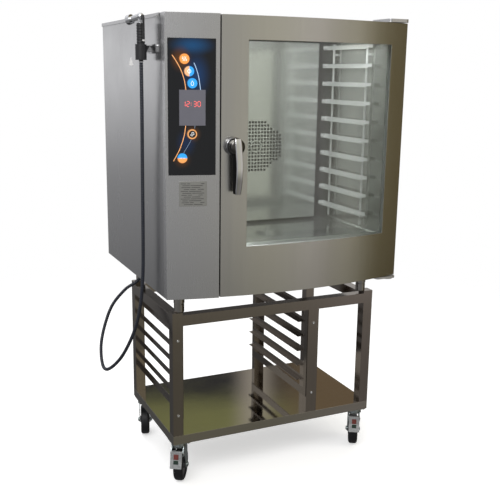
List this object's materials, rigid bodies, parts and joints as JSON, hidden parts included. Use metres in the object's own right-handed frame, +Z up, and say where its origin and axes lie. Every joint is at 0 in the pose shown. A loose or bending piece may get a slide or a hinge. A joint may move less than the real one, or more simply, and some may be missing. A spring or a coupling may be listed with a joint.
{
  "type": "combi steamer oven",
  "caption": "Tray-loading combi steamer oven with a bowed glazed door, control column, hand shower and fan, on a stainless tray stand with casters.",
  "frame": {"origin": "on the floor, under the middle of the stand", "axes": "+X to the right seen from the front, +Y to the back, +Z up"},
  "size_m": [1.0687, 0.9274, 1.75],
  "materials": {
    "casing_steel": "fine brushed",
    "fascia_steel": "fine brushed",
    "door_steel": "fine brushed",
    "cavity_steel": "satin",
    "rack_steel": "electropolished",
    "stand_steel": "polished",
    "zinc": "zinc plated",
    "pedal_zinc": "zinc plated",
    "tyre_black": "satin",
    "rubber_black": "matt",
    "hose_black": "satin",
    "handle_black": "satin",
    "handle_silver": "satin",
    "grip_black": "satin",
    "panel_black": "gloss",
    "screen_grey": "satin",
    "key_orange": "lit",
    "key_split": "lit",
    "key_blue": "lit",
    "key_ring": "lit",
    "label_silver": "satin",
    "clear_glass": "clear",
    "lamp_glass": "clear",
    "mineral_wool": "matt",
    "motor_grey": "painted",
    "element_steel": "heat tinted",
    "brass_fittings": "satin",
    "board_green": "matt"
  },
  "bodies": {
    "cabinet": {"top_panel": "casing_steel", "left_side_panel": "casing_steel", "right_side_panel": "casing_steel", "rear_panel": "casing_steel", "base_pan": "casing_steel", "control_fascia": "fascia_steel", "label_plate": "label_silver", "hinge_brackets": "fascia_steel", "latch_keeper": "fascia_steel", "oven_feet": "fascia_steel", "cavity_liner": "cavity_steel", "insulation_jacket": "mineral_wool", "fan_baffle": "cavity_steel", "drain_strainer": "cavity_steel", "right_rack": "rack_steel", "left_rack": "rack_steel", "cavity_lamp": "lamp_glass", "door_gasket": "rubber_black", "fan_motor": "motor_grey", "heating_element": "element_steel", "steam_generator": "cavity_steel", "drain_pipe": "cavity_steel", "vent_pipe": "cavity_steel", "water_valves": "brass_fittings", "control_board": "board_green", "control_glass": "panel_black", "display_screen": "screen_grey", "shower_hose": "hose_black", "shower_holder": "fascia_steel", "stand_frame": "stand_steel", "stand_shelf": "stand_steel", "tray_runners": "stand_steel", "screws": "stand_steel", "caster_plates": "zinc"},
    "door": {"door_skin": "door_steel", "door_inner_pan": "cavity_steel", "door_outer_glass": "clear_glass", "door_inner_glass": "clear_glass", "handle_boss": "handle_black"},
    "handle": {"handle_lever": "handle_silver", "latch_cam": "cavity_steel"},
    "key_convection": {"key_convection": "key_orange"},
    "key_combi": {"key_combi": "key_split"},
    "key_steam": {"key_steam": "key_blue"},
    "key_program": {"key_program": "key_ring"},
    "key_power": {"key_power": "key_split"},
    "fan": {"fan_wheel": "cavity_steel"},
    "damper": {"vent_damper": "cavity_steel"},
    "hand_shower": {"shower_body": "grip_black"},
    "trigger": {"shower_lever": "grip_black"},
    "caster_front_left": {"caster_fork_front_left": "zinc"},
    "wheel_front_left": {"caster_wheel_front_left": "tyre_black"},
    "pedal_front_left": {"brake_pedal_front_left": "pedal_zinc"},
    "caster_front_right": {"caster_fork_front_right": "zinc"},
    "wheel_front_right": {"caster_wheel_front_right": "tyre_black"},
    "pedal_front_right": {"brake_pedal_front_right": "pedal_zinc"},
    "caster_rear_left": {"caster_fork_rear_left": "zinc"},
    "wheel_rear_left": {"caster_wheel_rear_left": "tyre_black"},
    "caster_rear_right": {"caster_fork_rear_right": "zinc"},
    "wheel_rear_right": {"caster_wheel_rear_right": "tyre_black"}
  },
  "joints": [
    {"name": "door_swing", "type": "hinge", "parent": "cabinet", "child": "door", "pos_m": [0.447, -0.315, 0.765], "axis": [0, 0, 1], "range_deg": [0, 135]},
    {"name": "handle_turn", "type": "hinge", "parent": "door", "child": "handle", "pos_m": [-0.249, -0.396, 1.293], "axis": [0, -1, 0], "range_deg": [0, 90]},
    {"name": "press_key_convection", "type": "slide", "parent": "cabinet", "child": "key_convection", "axis": [0.2327, 0.9726, 0], "range_m": [0, 0.0008]},
    {"name": "press_key_combi", "type": "slide", "parent": "cabinet", "child": "key_combi", "axis": [0.2241, 0.9746, 0], "range_m": [0, 0.0008]},
    {"name": "press_key_steam", "type": "slide", "parent": "cabinet", "child": "key_steam", "axis": [0.2185, 0.9758, 0], "range_m": [0, 0.0008]},
    {"name": "press_key_program", "type": "slide", "parent": "cabinet", "child": "key_program", "axis": [0.219, 0.9757, 0], "range_m": [0, 0.0008]},
    {"name": "press_key_power", "type": "slide", "parent": "cabinet", "child": "key_power", "axis": [0.2372, 0.9715, 0], "range_m": [0, 0.0008]},
    {"name": "spin_fan", "type": "hinge", "parent": "cabinet", "child": "fan", "pos_m": [0.079, 0.235, 1.238], "axis": [0, 1, 0], "continuous": true},
    {"name": "turn_vent_damper", "type": "hinge", "parent": "cabinet", "child": "damper", "pos_m": [-0.15, 0.2, 1.7], "axis": [1, 0, 0], "range_deg": [0, 90]},
    {"name": "hand_shower_lift", "type": "slide", "parent": "cabinet", "child": "hand_shower", "axis": [0, 0, 1], "range_m": [0, 0.1]},
    {"name": "hand_shower_squeeze", "type": "hinge", "parent": "hand_shower", "child": "trigger", "pos_m": [-0.505, -0.204, 1.706], "axis": [1, 0, 0], "range_deg": [0, 4]},
    {"name": "swivel_front_left", "type": "hinge", "parent": "cabinet", "child": "caster_front_left", "pos_m": [-0.389, -0.216, 0.175], "axis": [0, 0, 1], "continuous": true},
    {"name": "spin_wheel_front_left", "type": "hinge", "parent": "caster_front_left", "child": "wheel_front_left", "pos_m": [-0.37522, -0.19395, 0.0625], "axis": [0.848, -0.5299, 0], "continuous": true},
    {"name": "pedal_front_left", "type": "hinge", "parent": "caster_front_left", "child": "pedal_front_left", "pos_m": [-0.40702, -0.24483, 0.135], "axis": [-0.848, 0.5299, 0], "range_deg": [0, 16]},
    {"name": "swivel_front_right", "type": "hinge", "parent": "cabinet", "child": "caster_front_right", "pos_m": [0.389, -0.216, 0.175], "axis": [0, 0, 1], "continuous": true},
    {"name": "spin_wheel_front_right", "type": "hinge", "parent": "caster_front_right", "child": "wheel_front_right", "pos_m": [0.402, -0.19348, 0.0625], "axis": [0.866, -0.5, 0], "continuous": true},
    {"name": "pedal_front_right", "type": "hinge", "parent": "caster_front_right", "child": "pedal_front_right", "pos_m": [0.372, -0.24544, 0.135], "axis": [-0.866, 0.5, 0], "range_deg": [0, 16]},
    {"name": "swivel_rear_left", "type": "hinge", "parent": "cabinet", "child": "caster_rear_left", "pos_m": [-0.389, 0.216, 0.175], "axis": [0, 0, 1], "continuous": true},
    {"name": "spin_wheel_rear_left", "type": "hinge", "parent": "caster_rear_left", "child": "wheel_rear_left", "pos_m": [-0.3814, 0.24086, 0.0625], "axis": [0.9563, -0.2924, 0], "continuous": true},
    {"name": "swivel_rear_right", "type": "hinge", "parent": "cabinet", "child": "caster_rear_right", "pos_m": [0.389, 0.216, 0.175], "axis": [0, 0, 1], "continuous": true},
    {"name": "spin_wheel_rear_right", "type": "hinge", "parent": "caster_rear_right", "child": "wheel_rear_right", "pos_m": [0.39958, 0.23975, 0.0625], "axis": [0.9135, -0.4067, 0], "continuous": true}
  ]
}
